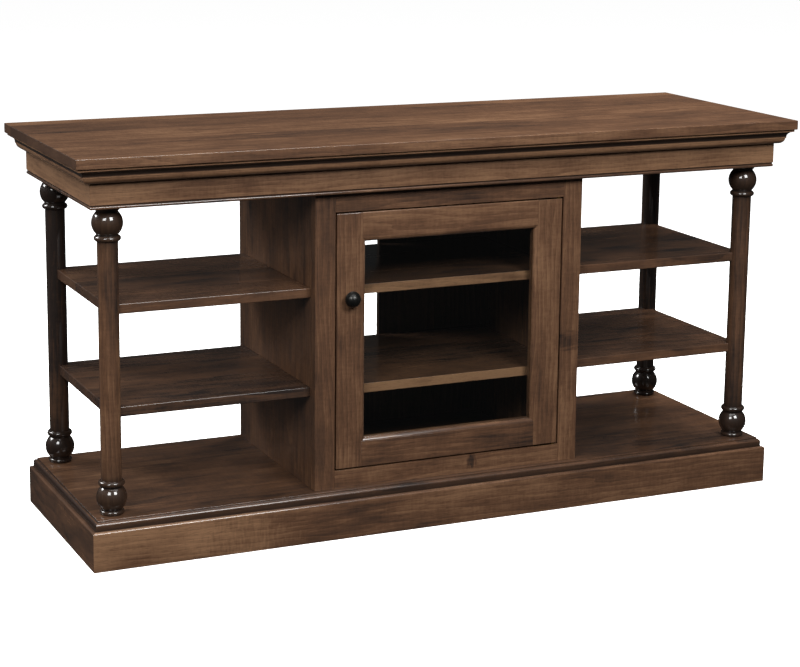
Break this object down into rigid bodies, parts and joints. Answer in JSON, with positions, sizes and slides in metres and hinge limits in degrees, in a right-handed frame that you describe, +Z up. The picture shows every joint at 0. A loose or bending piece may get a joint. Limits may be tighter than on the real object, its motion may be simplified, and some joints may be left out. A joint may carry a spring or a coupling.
{
  "type": "console television cabinet",
  "caption": "Low stained-wood console for a television: an inset glazed door in the middle, open shelves at both sides, turned corner posts, moulded top and plinth.",
  "frame": {"origin": "on the floor, at the middle of the footprint of the top slab", "axes": "+X to the right seen from the front, +Y to the back, +Z up; the door faces -Y"},
  "size_m": [1.524, 0.516, 0.776],
  "materials": {
    "stained_hardwood": "brown stain under clear gloss lacquer",
    "stained_panel": "brown stain, thin lacquer",
    "stained_plywood": "stained veneered plywood, satin",
    "plain_softwood": "bare planed softwood",
    "clear_glass": "clear float glass",
    "dark_bronze": "oil-rubbed bronze, satin",
    "hinge_brass": "satin brass",
    "zinc_steel": "zinc plated",
    "catch_plastic": "brown moulded plastic"
  },
  "bodies": {
    "cabinet": {"top_slab": "stained_hardwood", "crown_front": "stained_hardwood", "crown_right": "stained_hardwood", "crown_back": "stained_hardwood", "crown_left": "stained_hardwood", "apron_front": "stained_hardwood", "apron_right": "stained_hardwood", "apron_back": "stained_hardwood", "apron_left": "stained_hardwood", "soffit_panel": "stained_panel", "apron_corner_blocks": "plain_softwood", "cross_rails": "plain_softwood", "slab_screws": "zinc_steel", "post_front_left": "stained_hardwood", "post_front_right": "stained_hardwood", "post_rear_left": "stained_hardwood", "post_rear_right": "stained_hardwood", "shelf_left_lower": "stained_hardwood", "shelf_left_upper": "stained_hardwood", "shelf_right_lower": "stained_hardwood", "shelf_right_upper": "stained_hardwood", "shelf_dowels": "plain_softwood", "partition_left": "stained_hardwood", "partition_right": "stained_hardwood", "face_stile_left": "stained_hardwood", "face_stile_right": "stained_hardwood", "face_rail_top": "stained_hardwood", "face_rail_bottom": "stained_hardwood", "hinge_upper_frame_leaf": "hinge_brass", "hinge_lower_frame_leaf": "hinge_brass", "hinge_washers": "hinge_brass", "frame_screws": "hinge_brass", "catch_body": "catch_plastic", "inner_shelf_lower": "stained_hardwood", "inner_shelf_upper": "stained_hardwood", "shelf_pins": "zinc_steel", "back_panel": "stained_plywood", "back_screws": "zinc_steel", "deck_board": "stained_hardwood", "plinth_front": "stained_hardwood", "plinth_right": "stained_hardwood", "plinth_back": "stained_hardwood", "plinth_left": "stained_hardwood", "plinth_corner_blocks": "plain_softwood"},
    "door": {"door_stile_left": "stained_hardwood", "door_stile_right": "stained_hardwood", "door_rail_top": "stained_hardwood", "door_rail_bottom": "stained_hardwood", "door_glass": "clear_glass", "glass_bead_top": "stained_hardwood", "glass_bead_right": "stained_hardwood", "glass_bead_bottom": "stained_hardwood", "glass_bead_left": "stained_hardwood", "door_knob": "dark_bronze", "knob_screw": "zinc_steel", "hinge_upper_door_leaf": "hinge_brass", "hinge_lower_door_leaf": "hinge_brass", "door_screws": "hinge_brass", "catch_plate": "zinc_steel"}
  },
  "joints": [
    {"name": "door_swing", "type": "hinge", "parent": "cabinet", "child": "door", "pos_m": [0.2365, -0.201, 0.386], "axis": [0, 0, 1], "range_deg": [0, 105]}
  ]
}
